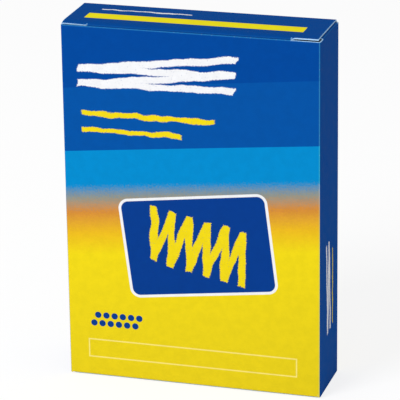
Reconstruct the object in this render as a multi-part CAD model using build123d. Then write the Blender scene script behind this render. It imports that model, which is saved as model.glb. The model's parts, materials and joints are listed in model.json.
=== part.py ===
from build123d import *
import math
import os

# A folding carton that holds two nested rows of wax marking crayons.
# Lengths are in millimetres and angles in degrees. The carton stands on z = 0 with its front towards -Y
# and its origin under the middle of the carton. The crayons set the size of the carton around them.

# Wax marking crayon
WAX_DIAMETER = 11.4
PAPER_THICKNESS = 0.2
PASTE_THICKNESS = 0.02
CRAYON_LENGTH = 107.0
CONE_LENGTH = 10.0
TIP_RADIUS = 2.0
END_BEVEL = 0.5
SLEEVE_START = 1.0
BARE_WAX_LENGTH = 9.0

# How the crayons lie in the carton
CRAYONS_PER_ROW = 6
SAME_ROW_GAP = 1.02
NESTING_GAP = 0.3
SIDE_GAP = 0.3
DEPTH_GAP = 0.35
STANDING_GAP = 0.2
TIP_TO_TUCK_GAP = 0.7

# Board of the carton
BOARD = 0.45
CREASE_INSIDE_RADIUS = 0.25
FOLD_CLEARANCE = 0.175
GLUE_FILM = 0.05
GLUE_FLAP_WIDTH = 12.0
GLUE_FLAP_END_GAP = 1.0
GLUE_FLAP_TAPER = 15.0
SEAM_SETBACK = 0.15

# Lid and its tuck flap
LID_SIDE_GAP = 0.25
LID_GAP = 0.15
SLIT_LENGTH = 9.0
TAB_GAP = 0.1
TUCK_GAP = 0.3
TUCK_LENGTH = 11.0
TUCK_LEAN = 18.0
TUCK_SIDE_GAP = 0.8
TUCK_SHOULDER_GAP = 0.65
TUCK_CORNER_RADIUS = 6.0
TUCK_SLIT_GAP = 0.3
FRONT_DROP = 0.9

# Dust flaps under the lid and over the bottom
DUST_LENGTH = 20.0
DUST_FREE_EDGE = 6.8
DUST_BACK_GAP = 1.0
DUST_TUCK_GAP = 2.0
DUST_FRONT_TAPER = 4.0
DUST_CORNER_RADIUS = 3.0

# Glued bottom
BOTTOM_SIDE_GAP = 0.3
BOTTOM_EDGE_SETBACK = 0.3
INNER_FLAP_END_GAP = 0.5

# Sizes that follow from the crayons
crayon_diameter = WAX_DIAMETER + 2 * (PASTE_THICKNESS + PAPER_THICKNESS)
pitch = crayon_diameter + SAME_ROW_GAP
row_spacing = math.sqrt((crayon_diameter + NESTING_GAP) ** 2 - (pitch / 2) ** 2)
row_width = (CRAYONS_PER_ROW - 0.5) * pitch + crayon_diameter
glue_build_up = GLUE_FILM + BOARD
inner_width = row_width + 2 * SIDE_GAP + glue_build_up
inner_depth = row_spacing + crayon_diameter + 2 * DEPTH_GAP
carton_width = inner_width + 2 * BOARD
carton_depth = inner_depth + 2 * BOARD
crease_radius = CREASE_INSIDE_RADIUS + BOARD
fold_gap = BOARD / 2 + FOLD_CLEARANCE

# Heights, counted up from the table
outer_flap_top = BOARD
inner_flap_top = 2 * BOARD
bottom_dust_top = 3 * BOARD
crayon_base = bottom_dust_top + STANDING_GAP
crayon_tip = crayon_base + CRAYON_LENGTH
lean = math.radians(TUCK_LEAN)
tuck_drop = TUCK_LENGTH * math.cos(lean) + BOARD / 2 * math.sin(lean)
lid_axis_z = crayon_tip + TIP_TO_TUCK_GAP + tuck_drop
carton_height = lid_axis_z + BOARD / 2
dust_axis_z = lid_axis_z - BOARD - LID_GAP
front_top = carton_height - FRONT_DROP

# Faces and fold lines in plan
side_x = carton_width / 2
wall_y = carton_depth / 2
front_inside_y = -wall_y + BOARD
lid_axis_y = wall_y - BOARD / 2
tuck_axis_y = front_inside_y + TUCK_GAP + BOARD / 2
dust_axis_x = side_x - BOARD / 2
dust_depth = lid_axis_z - dust_axis_z + BOARD / 2
tuck_inside_y = tuck_axis_y + BOARD / 2 / math.cos(lean) + dust_depth * math.tan(lean)
seam_x = -side_x + BOARD + GLUE_FILM


def wall_ring(left, right):
    """Plan of a creased board tube between two x positions, with rounded upright creases."""
    width = right - left
    outer = RectangleRounded(width, carton_depth, crease_radius)
    inner = RectangleRounded(width - 2 * BOARD, inner_depth, CREASE_INSIDE_RADIUS)
    return Pos((left + right) / 2, 0) * (outer - inner)


def front_sector(left, right):
    """Plan region that belongs to the front wall, between the bisectors of its two corners."""
    return Polygon(
        (left, -wall_y), (right, -wall_y), (right - wall_y, 0), (left + wall_y, 0), align=None
    )


def side_sector(left):
    """Plan region that belongs to the left wall, between the bisectors of its two corners."""
    return Polygon((left, -wall_y), (left + wall_y, 0), (left, wall_y), align=None)


def between(outline, low, high):
    """A wall or a flat flap with the given plan between two heights."""
    return Pos(0, 0, low) * extrude(outline, amount=high - low)


def fold_nose(length):
    """The round folded edge of a flap, along X and centred on its fold line."""
    return Rot(0, 90, 0) * Cylinder(BOARD / 2, length)


def front_panel():
    """Front wall, whose straight top edge stands a little below the top of the lid."""
    section = wall_ring(-side_x, side_x) & front_sector(-side_x, side_x)
    return between(section, inner_flap_top, front_top)


def back_panel():
    """Back wall, from the right crease to the crease of the glue flap, below the lid's fold line."""
    section = wall_ring(seam_x, side_x) & mirror(front_sector(seam_x, side_x), about=Plane.XZ)
    return between(section, outer_flap_top, lid_axis_z - fold_gap)


def right_side_panel():
    """Right wall, creased at both upright edges, below the fold line of its dust flap."""
    left_section = wall_ring(-side_x, side_x) & side_sector(-side_x)
    return between(mirror(left_section, about=Plane.YZ), bottom_dust_top, dust_axis_z - fold_gap)


def left_side_panel():
    """Left wall, creased at the front and cut off at the back, where it covers the glue flap."""
    section = wall_ring(-side_x, side_x) & side_sector(-side_x)
    straight_end = wall_y - crease_radius
    creased = section & Polygon(
        (-side_x, -wall_y), (0, -wall_y), (0, straight_end), (-side_x, straight_end), align=None
    )
    cut_edge = wall_y - SEAM_SETBACK
    edge = Polygon(
        (-side_x, straight_end), (-side_x + BOARD, straight_end),
        (-side_x + BOARD, cut_edge), (-side_x, cut_edge), align=None
    )
    return between(creased + edge, bottom_dust_top, dust_axis_z - fold_gap)


def glue_flap():
    """Flap folded from the back panel and glued inside the left wall, with slanted ends."""
    section = wall_ring(seam_x, side_x) & side_sector(seam_x)
    free_edge = wall_y - GLUE_FLAP_WIDTH
    kept = Polygon((seam_x, free_edge), (seam_x + wall_y, free_edge), (seam_x + wall_y, wall_y),
                   (seam_x, wall_y), align=None)
    low = bottom_dust_top + GLUE_FLAP_END_GAP
    high = dust_axis_z - BOARD / 2 - GLUE_FLAP_END_GAP
    flap = between(section & kept, low, high)
    slant = GLUE_FLAP_WIDTH * math.tan(math.radians(GLUE_FLAP_TAPER))
    outline = Polygon(
        (free_edge, low + slant), (wall_y, low), (wall_y, high), (free_edge, high - slant), align=None
    )
    return flap & extrude(Plane.YZ * outline, amount=carton_width, both=True)


def lid_panel():
    """Lid with a round back fold, and a tab at each front corner beyond the slits."""
    half_width = side_x - LID_SIDE_GAP
    slit_x = side_x - SLIT_LENGTH
    tab_y = front_inside_y + TAB_GAP
    crease_y = tuck_axis_y + fold_gap
    outline = Polygon(
        (-half_width, lid_axis_y), (-half_width, tab_y), (-slit_x, tab_y), (-slit_x, crease_y),
        (slit_x, crease_y), (slit_x, tab_y), (half_width, tab_y), (half_width, lid_axis_y), align=None
    )
    nose = Pos(0, lid_axis_y, lid_axis_z) * fold_nose(2 * half_width)
    return between(outline, carton_height - BOARD, carton_height) + nose


def lid_tuck_flap():
    """Tuck flap that leans inwards from the lid's front crease, wider below the slits."""
    root = side_x - SLIT_LENGTH - TUCK_SLIT_GAP
    half_width = inner_width / 2 - TUCK_SIDE_GAP
    shoulder = -BOARD / 2 - TUCK_SHOULDER_GAP
    neck = Polygon(
        (-root, 0), (root, 0), (root, shoulder - BOARD), (-root, shoulder - BOARD), align=None
    )
    body = Polygon(
        (-half_width, shoulder), (half_width, shoulder), (half_width, -TUCK_LENGTH),
        (-half_width, -TUCK_LENGTH), align=None
    )
    lower_corners = body.vertices().sort_by(Axis.Y)[:2]
    outline = neck + fillet(lower_corners, TUCK_CORNER_RADIUS)
    board = extrude(Plane.XZ * outline, amount=BOARD / 2, both=True)
    flap = board + fold_nose(2 * root)
    return Pos(0, tuck_axis_y, lid_axis_z) * Rot(TUCK_LEAN, 0, 0) * flap


def left_dust_flap(axis_z):
    """Left dust flap, folded in at the given height and narrower towards its free edge."""
    back_y = wall_y - BOARD - DUST_BACK_GAP
    front_y = tuck_inside_y + DUST_TUCK_GAP
    free_x = -dust_axis_x + DUST_LENGTH
    free_front_y = front_y + DUST_LENGTH * math.tan(math.radians(DUST_FRONT_TAPER))
    outline = Polygon(
        (-dust_axis_x, front_y), (free_x, free_front_y), (free_x, free_front_y + DUST_FREE_EDGE),
        (-dust_axis_x, back_y), align=None
    )
    free_corners = outline.vertices().sort_by(Axis.X)[-2:]
    board = between(fillet(free_corners, DUST_CORNER_RADIUS), axis_z - BOARD / 2, axis_z + BOARD / 2)
    nose = Rot(0, 0, 90) * fold_nose(back_y - front_y)
    return board + Pos(-dust_axis_x, (front_y + back_y) / 2, axis_z) * nose


def bottom_outer_flap():
    """Outer bottom flap, folded from the back wall, that the carton stands on."""
    half_width = side_x - BOTTOM_SIDE_GAP
    front_edge = -wall_y + BOTTOM_EDGE_SETBACK
    outline = Polygon(
        (-half_width, front_edge), (half_width, front_edge), (half_width, lid_axis_y),
        (-half_width, lid_axis_y), align=None
    )
    nose = Pos(0, lid_axis_y, outer_flap_top - BOARD / 2) * fold_nose(2 * half_width)
    return between(outline, 0, outer_flap_top) + nose


def bottom_inner_flap():
    """Inner bottom flap, folded from the front wall and glued on the outer flap."""
    half_width = side_x - BOTTOM_SIDE_GAP
    back_edge = wall_y - BOARD - INNER_FLAP_END_GAP
    fold_y = -wall_y + BOARD / 2
    outline = Polygon(
        (-half_width, fold_y), (half_width, fold_y), (half_width, back_edge), (-half_width, back_edge),
        align=None
    )
    nose = Pos(0, fold_y, inner_flap_top - BOARD / 2) * fold_nose(2 * half_width)
    return between(outline, outer_flap_top, inner_flap_top) + nose


def wax_stick():
    """Round wax stick standing on its flat end, with a cone that runs into a round tip."""
    radius = WAX_DIAMETER / 2
    shoulder = CRAYON_LENGTH - CONE_LENGTH
    centre = CRAYON_LENGTH - TIP_RADIUS
    to_centre = math.hypot(radius, centre - shoulder)
    slope = math.atan2(radius, centre - shoulder) - math.asin(TIP_RADIUS / to_centre)
    middle = (slope + math.pi / 2) / 2
    touch_point = (TIP_RADIUS * math.cos(slope), centre + TIP_RADIUS * math.sin(slope))
    round_point = (TIP_RADIUS * math.cos(middle), centre + TIP_RADIUS * math.sin(middle))
    outline = [
        Line((0, 0), (radius - END_BEVEL, 0)),
        Line((radius - END_BEVEL, 0), (radius, END_BEVEL)),
        Line((radius, END_BEVEL), (radius, shoulder)),
        Line((radius, shoulder), touch_point),
        ThreePointArc(touch_point, round_point, (0, CRAYON_LENGTH)),
        Line((0, CRAYON_LENGTH), (0, 0)),
    ]
    profile = Plane.XZ * make_face(Curve() + outline)
    return revolve(profile, Axis.Z)


def paper_sleeve():
    """Paper sleeve pasted round the wax stick below its bare end."""
    inside = WAX_DIAMETER / 2 + PASTE_THICKNESS
    top = CRAYON_LENGTH - CONE_LENGTH - BARE_WAX_LENGTH
    section = Circle(inside + PAPER_THICKNESS) - Circle(inside)
    return between(section, SLEEVE_START, top)


def crayon_places():
    """Name and place of each crayon: the back row stands half a pitch to the right of the front row."""
    first_x = -inner_width / 2 + glue_build_up + SIDE_GAP + crayon_diameter / 2
    front_y = front_inside_y + DEPTH_GAP + crayon_diameter / 2
    rows = {"front": (first_x, front_y), "back": (first_x + pitch / 2, front_y + row_spacing)}
    places = {}
    for row, (row_x, row_y) in rows.items():
        for index in range(CRAYONS_PER_ROW):
            places[f"{row}_crayon_{index + 1}"] = Pos(row_x + index * pitch, row_y, crayon_base)
    return places


def carton_nodes():
    """All plates of the carton by name. The right dust flaps mirror the left ones."""
    top_dust = left_dust_flap(dust_axis_z)
    bottom_dust = left_dust_flap(bottom_dust_top - BOARD / 2)
    return {
        "front_panel": front_panel(),
        "back_panel": back_panel(),
        "left_side_panel": left_side_panel(),
        "right_side_panel": right_side_panel(),
        "glue_flap": glue_flap(),
        "lid_panel": lid_panel(),
        "lid_tuck_flap": lid_tuck_flap(),
        "left_dust_flap": top_dust,
        "right_dust_flap": mirror(top_dust, about=Plane.YZ),
        "bottom_outer_flap": bottom_outer_flap(),
        "bottom_inner_flap": bottom_inner_flap(),
        "bottom_left_dust_flap": bottom_dust,
        "bottom_right_dust_flap": mirror(bottom_dust, about=Plane.YZ),
    }


def crayon_nodes():
    """Wax stick and paper sleeve of every crayon by name."""
    stick = wax_stick()
    sleeve = paper_sleeve()
    nodes = {}
    for name, place in crayon_places().items():
        nodes[f"{name}_wax"] = place * stick
        nodes[f"{name}_sleeve"] = place * sleeve
    return nodes


nodes = carton_nodes() | crayon_nodes()
os.makedirs("parts", exist_ok=True)
for name, node in nodes.items():
    export_step(node, f"parts/{name}.step")
print("carton", round(carton_width, 3), round(carton_depth, 3), round(carton_height, 3))
print("lid axis", round(lid_axis_y, 4), round(lid_axis_z, 4), "tuck axis", round(tuck_axis_y, 4))
print("dust axis", round(dust_axis_x, 4), round(dust_axis_z, 4), "crayon tip", round(crayon_tip, 3))
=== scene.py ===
import json
import random
from functools import partialmethod
from math import asin, atan, atan2, cos, exp, hypot, pi, radians, sin, sqrt, tan
from typing import NamedTuple

import bpy
from mathutils import Matrix, Vector


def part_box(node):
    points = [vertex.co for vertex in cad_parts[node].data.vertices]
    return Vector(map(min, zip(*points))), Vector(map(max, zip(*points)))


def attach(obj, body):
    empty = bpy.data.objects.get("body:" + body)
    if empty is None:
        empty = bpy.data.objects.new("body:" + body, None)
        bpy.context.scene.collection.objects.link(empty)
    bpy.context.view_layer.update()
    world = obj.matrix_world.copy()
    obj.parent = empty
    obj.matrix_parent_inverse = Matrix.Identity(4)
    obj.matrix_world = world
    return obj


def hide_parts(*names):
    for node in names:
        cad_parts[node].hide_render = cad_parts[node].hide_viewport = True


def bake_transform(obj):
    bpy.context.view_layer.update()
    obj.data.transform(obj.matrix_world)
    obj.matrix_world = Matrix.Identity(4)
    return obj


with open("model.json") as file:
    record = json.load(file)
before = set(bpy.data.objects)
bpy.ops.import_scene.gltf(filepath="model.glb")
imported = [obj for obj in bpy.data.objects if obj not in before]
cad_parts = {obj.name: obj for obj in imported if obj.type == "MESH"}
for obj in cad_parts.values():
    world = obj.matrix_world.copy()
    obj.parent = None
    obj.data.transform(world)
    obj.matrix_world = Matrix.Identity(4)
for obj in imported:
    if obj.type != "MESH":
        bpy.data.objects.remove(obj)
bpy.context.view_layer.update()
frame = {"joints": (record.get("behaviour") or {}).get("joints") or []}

# A folding carton of wax marking crayons: one creased and printed board blank, and twelve sleeved crayons.
# Lengths are in millimetres, and a mesh is turned into metres when it is made.
# A place on the flat blank is (u, v): u runs round the carton from the middle of the front, v runs up it.
MM = 0.001
BLANK_MAP = "blank"
# A board's wear attribute holds the wear of its creases and cut edges, and on the walls' upright creases also
# a painted highlight.
WEAR_AND_HIGHLIGHT = "wear_and_highlight"
TOLERANCE = 1e-6
MERGE_DIGITS = 4

# Board
CREASE_RADIUS = 0.7
FLAP_CREASE_RADIUS = 0.35
CREASE_MARGIN = 0.4
EDGE_BEVEL = 0.06
EDGE_BAND = 0.35
EDGE_WEAR = 0.65
# The walls' upright creases carry a painted highlight with their wear, weakest on the crease at the left of
# the front.
LEFT_CREASE_WEAR_AND_HIGHLIGHT = 0.25
FLAP_CREASE_WEAR = 0.3
CREASE_LINE = 0.35
CREASE_BAND = 0.2
BOW = 0.16
BOARD_SHARP_ANGLE = 35
ARC_STEPS = 8
CORNER_ANGLES = range(0, 91, 10)
STEP_GAP = 0.01
COLUMN_STEP = 3.0
WALL_ROWS = 30
BOW_POWER = 3

# Lid, tuck flap, dust flaps, glue flap and bottom
SLIT_LENGTH = 9.0
SLIT_SHIFT = 0.55
TUCK_SLIT_GAP = 0.08
LID_RIGHT_INSET = 0.5
LID_ROLL = 17.0
LID_ROLL_RADIUS = 9.0
LID_COLUMNS = 22
LID_ROWS = 8
LEFT_TAB_ROLL = 0.75
LEFT_TAB_BEND = 8.0
RIGHT_TAB_ROLL = 0.25
RIGHT_TAB_BEND = 1.5
TAB_COLUMNS = (6.0, 4.0, 2.5, 1.5, 1.1, 0.75, 0.4, 0.0)
TUCK_LEAN = 18.0
TUCK_CLEARANCE = 0.4
TUCK_CREASE_RADIUS = 0.375
TUCK_CREASE_WEAR = 0.1
TUCK_NECK = 0.15
TUCK_CORNER_RADIUS = 6.0
TUCK_ROWS = 2
DUST_FRONT_TAPER = 4.0
DUST_FREE_EDGE = 6.8
DUST_CORNER_RADIUS = 3.0
DUST_ROWS = 5
GLUE_FLAP_TAPER = 15.0
BOTTOM_INSET = 0.65

# Crayons
CONE_LENGTH = 10.0
TIP_RADIUS = 2.0
END_BEVEL = 0.5
FOOT_BAND = 1.2
SHOULDER_BAND = 1.0
SHOULDER_SOFT = 0.8
MOULD_LINE = 0.035
MOULD_LINE_SPREAD = 0.004
OUT_OF_ROUND = 0.01
PAPER_GAP = 0.01
PAPER_RIM = 0.05
LAP_WIDTH = 7.0
LAP_STEP = 0.07
LAP_TAIL = 0.35
LAP_TAIL_ANGLE = 0.4
CRAYON_SHARP_ANGLE = 40
ROUND_STEPS = 72
BEVEL_STEPS = 3
BODY_STEPS = 12
SHOULDER_STEPS = 6
CONE_STEPS = 8
SLEEVE_STEPS = 10
ROW_COUNT = 6
TURN_SEED = 12

# Print
PRINT_SOFT = 0.08
LINE_SOFT = 0.05
WAX_RAGGED = 1.1
WAX_SOFT = 0.12
WAX_BREAKS = (0.27, 0.36)
WAX_THIN = 0.25
HAND_DRIFT = 0.7
HAND_SWAY = 0.35
LINE_SWAY = 2.2
LINE_END_RAGGED = 1.5
LINE_END_SOFT = 0.25
FADE_SPRAY = 7
NOISE_SKEW = 1.7
BAND_SOFT = 0.1
DOTS_FOOT = 17.4
TUCK_BLEED = 5.6
DUST_BLEED = 6.0
BOTTOM_BLEED = 5.0


def node_box(node):
    """Lowest and highest corner of a solid, in millimetres."""
    low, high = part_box(node)
    return low / MM, high / MM


def joint_place(name):
    """A point on a joint's axis, in millimetres."""
    joint = next(joint for joint in frame["joints"] if joint["name"] == name)
    return Vector(joint["pos_m"]) / MM


# Sizes that come from the frame
front_low, front_high = node_box("front_panel")
glue_low, glue_high = node_box("glue_flap")
lid_low, lid_high = node_box("lid_panel")
tuck_low, tuck_high = node_box("lid_tuck_flap")
dust_low, dust_high = node_box("right_dust_flap")
outer_low, outer_high = node_box("bottom_outer_flap")
inner_low, inner_high = node_box("bottom_inner_flap")
wax_low, wax_high = node_box("front_crayon_1_wax")
sleeve_low, sleeve_high = node_box("front_crayon_1_sleeve")
lid_axis = joint_place("lid_hinge")
tuck_axis = joint_place("tuck_fold")
dust_axis = joint_place("right_dust_fold")
board = lid_high.z - lid_low.z
outer_axis_z = outer_high.z - board / 2
inner_axis_z = inner_high.z - board / 2
bottom_dust_axis_z = node_box("bottom_left_dust_flap")[1].z - board / 2
side_x = node_box("right_side_panel")[1].x
wall_y = -front_low.y
seam_x = glue_low.x
left_cut_y = node_box("left_side_panel")[1].y
slit_left = -side_x + SLIT_LENGTH - SLIT_SHIFT
slit_right = side_x - SLIT_LENGTH - SLIT_SHIFT
lid_left = lid_low.x
lid_right = lid_high.x - LID_RIGHT_INSET
root_left = seam_x + CREASE_RADIUS
root_right = side_x - CREASE_RADIUS
sleeve_bottom = sleeve_low.z - wax_low.z
sleeve_top = sleeve_high.z - wax_low.z


def even_steps(first, last, count):
    """Even steps from first to last, both included."""
    return [first + (last - first) * step / count for step in range(count + 1)]


def banded_steps(first, last, count):
    """Even steps with a narrow band at each end."""
    return [first, *even_steps(first + EDGE_BAND, last - EDGE_BAND, count), last]


def run_stations(length):
    """Distances along a run, with narrow bands at its ends if there is room."""
    if length < 4 * EDGE_BAND:
        return [0.0, length]
    return banded_steps(0.0, length, max(1, round((length - 2 * EDGE_BAND) / COLUMN_STEP)))


def round_steps(length, radius):
    """Distances towards a free edge, closer together where its corners turn."""
    return [length - radius + radius * sin(radians(angle)) for angle in CORNER_ANGLES]


def smooth_step(value):
    """0 up to value 0, 1 from value 1, and smooth between."""
    value = min(1.0, max(0.0, value))
    return value * value * (3 - 2 * value)


class Segment(NamedTuple):
    """A run or a left turn of a fold line, from a first distance along it."""
    first: float
    length: float
    place: Vector
    heading: float
    turn: float

    @property
    def end(self):
        """Distance along the fold line where it ends."""
        return self.first + self.length

    def at(self, distance):
        """Point and outward normal at a distance along it."""
        ahead = Vector((cos(self.heading), sin(self.heading)))
        if not self.turn:
            return self.place + ahead * distance, Vector((ahead.y, -ahead.x))
        radius = self.length / self.turn
        centre = self.place + Vector((-ahead.y, ahead.x)) * radius
        now = self.heading + distance / radius
        outward = Vector((sin(now), -cos(now)))
        return centre + outward * radius, outward


class Fold:
    """A line of runs and left turns in a plane, with the printed face on its right."""

    def __init__(self, start, heading, parts):
        self.segments = []
        self.length = 0.0
        place = Vector(start)
        angle = radians(heading)
        for kind, amount, *radius in parts:
            turn = radians(amount) if kind == "turn" else 0.0
            length = turn * radius[0] if kind == "turn" else amount
            segment = Segment(self.length, length, place, angle, turn)
            self.segments.append(segment)
            place = segment.at(length)[0]
            angle += turn
            self.length += length

    def at(self, distance):
        """Point and outward normal at a distance along it."""
        segment = [each for each in self.segments if each.first <= distance + TOLERANCE][-1]
        return segment.at(distance - segment.first)

    def stations(self):
        """Distances for a mesh: even steps, and a narrow one beside each turn."""
        found = []
        for segment in self.segments:
            length = segment.length
            steps = even_steps(0.0, length, ARC_STEPS) if segment.turn else run_stations(length)
            found += [segment.first + step for step in steps[:-1]]
        return found + [self.length]


# The walls in plan, from the cut edge of the left side round to the free edge of the glue flap
corner = ("turn", 90, CREASE_RADIUS)
wall_fold = Fold((-side_x, left_cut_y), -90, [
    ("run", left_cut_y + wall_y - CREASE_RADIUS), corner,
    ("run", 2 * (side_x - CREASE_RADIUS)), corner,
    ("run", 2 * (wall_y - CREASE_RADIUS)), corner,
    ("run", root_right - root_left), corner,
    ("run", wall_y - CREASE_RADIUS - glue_low.y),
])
wall_panels = wall_fold.segments[::2]
wall_creases = wall_fold.segments[1::2]
LEFT, FRONT, RIGHT, BACK, GLUE = wall_panels
front_middle = FRONT.first + FRONT.length / 2
left_middle = LEFT.first + left_cut_y
right_middle = RIGHT.first + wall_y - CREASE_RADIUS
back_middle = BACK.first + side_x - CREASE_RADIUS
u_left = left_middle - front_middle
u_right = right_middle - front_middle
u_back = back_middle - front_middle

# Each panel's outward direction in plan, and the middle of the panel on the blank
PANELS = {
    "front": ((0, -1), 0.0),
    "back": ((0, 1), u_back),
    "left": ((-1, 0), u_left),
    "right": ((1, 0), u_right),
}

# The crease of a flap, as distances along its fold line
flap_reach = FLAP_CREASE_RADIUS + CREASE_MARGIN
flap_outer_radius = FLAP_CREASE_RADIUS + board / 2
crease_turn = pi / 2 * flap_outer_radius
crease_end = CREASE_MARGIN + crease_turn
lid_crease_end = crease_end + CREASE_MARGIN


class Flap:
    """A flap that folds over a panel's top (v_sign 1) or foot (-1), in space and on the flat blank.

    face is how far the panel's printed face stands out, and axis is the height of the crease's axis. The
    fold line is a margin on the panel, a square crease, a flat run and any more parts."""

    def __init__(self, panel, face, axis, v_sign, flat, *more):
        (out_x, out_y), self.u_middle = PANELS[panel]
        self.outward = Vector((out_x, out_y, 0))
        self.along = Vector((abs(out_y), abs(out_x), 0))
        self.up = Vector((0, 0, v_sign))
        self.u_sign = out_x - out_y
        self.v_sign = v_sign
        self.v_start = axis - v_sign * flap_reach
        crease = [("run", CREASE_MARGIN), ("turn", 90, flap_outer_radius)]
        self.fold = Fold((face, v_sign * self.v_start), 90, [*crease, ("run", flat), *more])

    def blank(self, across, distance):
        """Place on the blank of a point across the flap and along its fold line."""
        return (self.u_middle + self.u_sign * across, self.v_start + self.v_sign * distance)

    def place(self, u, v):
        """Point and normal of the printed face at a place on the blank."""
        across = (u - self.u_middle) * self.u_sign
        point, normal = self.fold.at((v - self.v_start) * self.v_sign)
        return (self.outward * point.x + self.up * point.y + self.along * across,
                self.outward * normal.x + self.up * normal.y)

    def rows(self, stations, edges, width):
        """Rows of places on the blank, between the flap's two edges at each distance."""
        shares = [station / width for station in run_stations(width)]
        found = []
        for distance in stations[::self.v_sign]:
            first, last = edges(distance)[::self.u_sign]
            found.append([self.blank(first + (last - first) * share, distance) for share in shares])
        return found


# The lid rolls down softly to the crease of its tuck flap, which leans inwards behind the front panel
roll_angle = radians(LID_ROLL)
lean_angle = radians(TUCK_LEAN)
tuck_turn = 90 + TUCK_LEAN - LID_ROLL
tuck_outer_radius = TUCK_CREASE_RADIUS + board / 2
tuck_centre_y = -wall_y + board + TUCK_CLEARANCE + tuck_outer_radius
roll_start_y = tuck_centre_y + (LID_ROLL_RADIUS - tuck_outer_radius) * sin(roll_angle)
roll_length = roll_angle * LID_ROLL_RADIUS
roll_drop = LID_ROLL_RADIUS * (1 - cos(roll_angle))
tuck_top_z = lid_high.z - roll_drop - tuck_outer_radius * (cos(roll_angle) + sin(lean_angle))
shoulder_z = tuck_top_z - TUCK_NECK * cos(lean_angle)
lid_run = lid_axis.y - flap_reach - roll_start_y
tuck_run = (tuck_top_z - tuck_low.z) / cos(lean_angle)
lid_flap = Flap("back", wall_y, lid_axis.z, 1, CREASE_MARGIN + lid_run, ("turn", LID_ROLL, LID_ROLL_RADIUS),
                ("turn", tuck_turn, tuck_outer_radius), ("run", tuck_run))

# The other flaps
fold_y = wall_y - board / 2 - FLAP_CREASE_RADIUS
dust_run = dust_axis.x - dust_low.x - FLAP_CREASE_RADIUS
dust_flaps = {}
bottom_flaps = {
    "outer": Flap("back", wall_y, outer_axis_z, -1, fold_y - outer_low.y - BOTTOM_INSET),
    "inner": Flap("front", wall_y, inner_axis_z, -1, fold_y + inner_high.y),
}
for side in ("left", "right"):
    dust_flaps[side] = Flap(side, side_x, dust_axis.z, 1, dust_run)
    bottom_flaps[side] = Flap(side, side_x - board - STEP_GAP, bottom_dust_axis_z, -1, dust_run - board)


# Shader maths
class Field:
    """One value per shading point: an output of a chain of nodes."""

    def __init__(self, tree, socket):
        self.tree = tree
        self.socket = socket

    def apply(self, operation, *others):
        """One maths node, with this field as its first input."""
        return add_node(self.tree, "Math", enumerate((self, *others)), operation=operation)

    __add__ = partialmethod(apply, "ADD")
    __sub__ = partialmethod(apply, "SUBTRACT")
    __mul__ = partialmethod(apply, "MULTIPLY")
    __truediv__ = partialmethod(apply, "DIVIDE")
    __abs__ = partialmethod(apply, "ABSOLUTE")
    least = partialmethod(apply, "MINIMUM")
    most = partialmethod(apply, "MAXIMUM")
    floor = partialmethod(apply, "FLOOR")

    def hypot(self, other):
        """Length of a diagonal with two fields as its sides."""
        return (self * self + other * other).apply("SQRT")

    def repeat(self, period):
        """Position within a repeated stretch, from 0 to 1."""
        return (self / period).apply("FRACT")

    def wave(self, period):
        """Triangle wave between -1 and 1."""
        return abs(self.repeat(period) * 2 - 1) * 2 - 1

    def rise(self, low, high, top=1.0, base=0.0):
        """A smooth step from base at low to top at high."""
        inputs = enumerate((self, low, high, base, top))
        return add_node(self.tree, "MapRange", inputs, interpolation_type="SMOOTHSTEP")

    def above(self, edge, soft):
        """1 above a soft edge and 0 below it."""
        return self.rise(edge - soft, edge + soft)

    def below(self, edge, soft):
        """1 below a soft edge and 0 above it."""
        return self.rise(edge - soft, edge + soft, top=0.0, base=1.0)

    def within(self, low, high, soft=LINE_SOFT):
        """1 between two values and 0 outside them."""
        return self.above(low, soft) * self.below(high, soft)


def feed(node, inputs):
    """Links fields to some of a node's inputs and sets plain values on others."""
    for key, value in dict(inputs).items():
        if isinstance(value, Field):
            value.tree.links.new(value.socket, node.inputs[key])
        else:
            node.inputs[key].default_value = value


def add_node(tree, kind, inputs=(), output=0, **settings):
    """One output of a new shader node with these settings and inputs."""
    node = tree.nodes.new("ShaderNode" + kind)
    for name, value in settings.items():
        setattr(node, name, value)
    feed(node, inputs)
    return Field(tree, node.outputs[output])


def colour(red, green, blue):
    """An sRGB colour of 0 to 255 as a linear colour."""
    shares = (value / 255 for value in (red, green, blue))
    linear = (share / 12.92 if share <= 0.04045 else ((share + 0.055) / 1.055) ** 2.4 for share in shares)
    return (*linear, 1.0)


DEEP_BLUE = colour(3, 73, 158)
MID_BLUE = colour(6, 84, 167)
LIGHT_BLUE = colour(5, 141, 209)
ORANGE = colour(216, 142, 60)
AMBER = colour(240, 190, 34)
HAZE = colour(148, 150, 138)
YELLOW = colour(245, 221, 26)
SHADED_FOOT_YELLOW = colour(233, 210, 31)
STRIPE_YELLOW = colour(253, 238, 30)
SIDE_BLUE = colour(8, 78, 160)
LID_BLUE = colour(4, 74, 153)
NAVY = colour(10, 62, 145)
PRINT_WHITE = colour(246, 247, 250)
PALE_LINE = colour(251, 233, 128)
COATED_WHITE = colour(236, 237, 236)
BARE_BOARD = colour(206, 200, 188)
BARE_CLOUD = colour(188, 181, 168)
BARE_FELT = colour(224, 220, 211)
BARE_FLECK = colour(132, 124, 112)
CUT_EDGE = colour(184, 221, 254)
CUT_STREAK = colour(132, 187, 244)
CUT_BLOTCH = colour(110, 170, 236)
WAX_DEEP = colour(246, 196, 20)
WAX_LIGHT = colour(250, 216, 44)
WAX_BLOOM = colour(253, 233, 138)
WAX_PIT = colour(214, 158, 12)
SLEEVE_DEEP = colour(8, 60, 140)
SLEEVE_LIGHT = colour(16, 76, 160)
FLOOR_COLOUR = colour(244, 244, 244)

# The fade, as heights above the middle of its boundary. Its yellow darkens towards the foot as a painted
# shade.
FADE = [(-66.0, SHADED_FOOT_YELLOW), (-20.0, YELLOW), (-12.5, AMBER), (-5.5, ORANGE), (-0.8, HAZE),
        (3.5, LIGHT_BLUE), (60.0, LIGHT_BLUE)]
HARD_BANDS = [(15.3, MID_BLUE), (36.5, DEEP_BLUE)]


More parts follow.
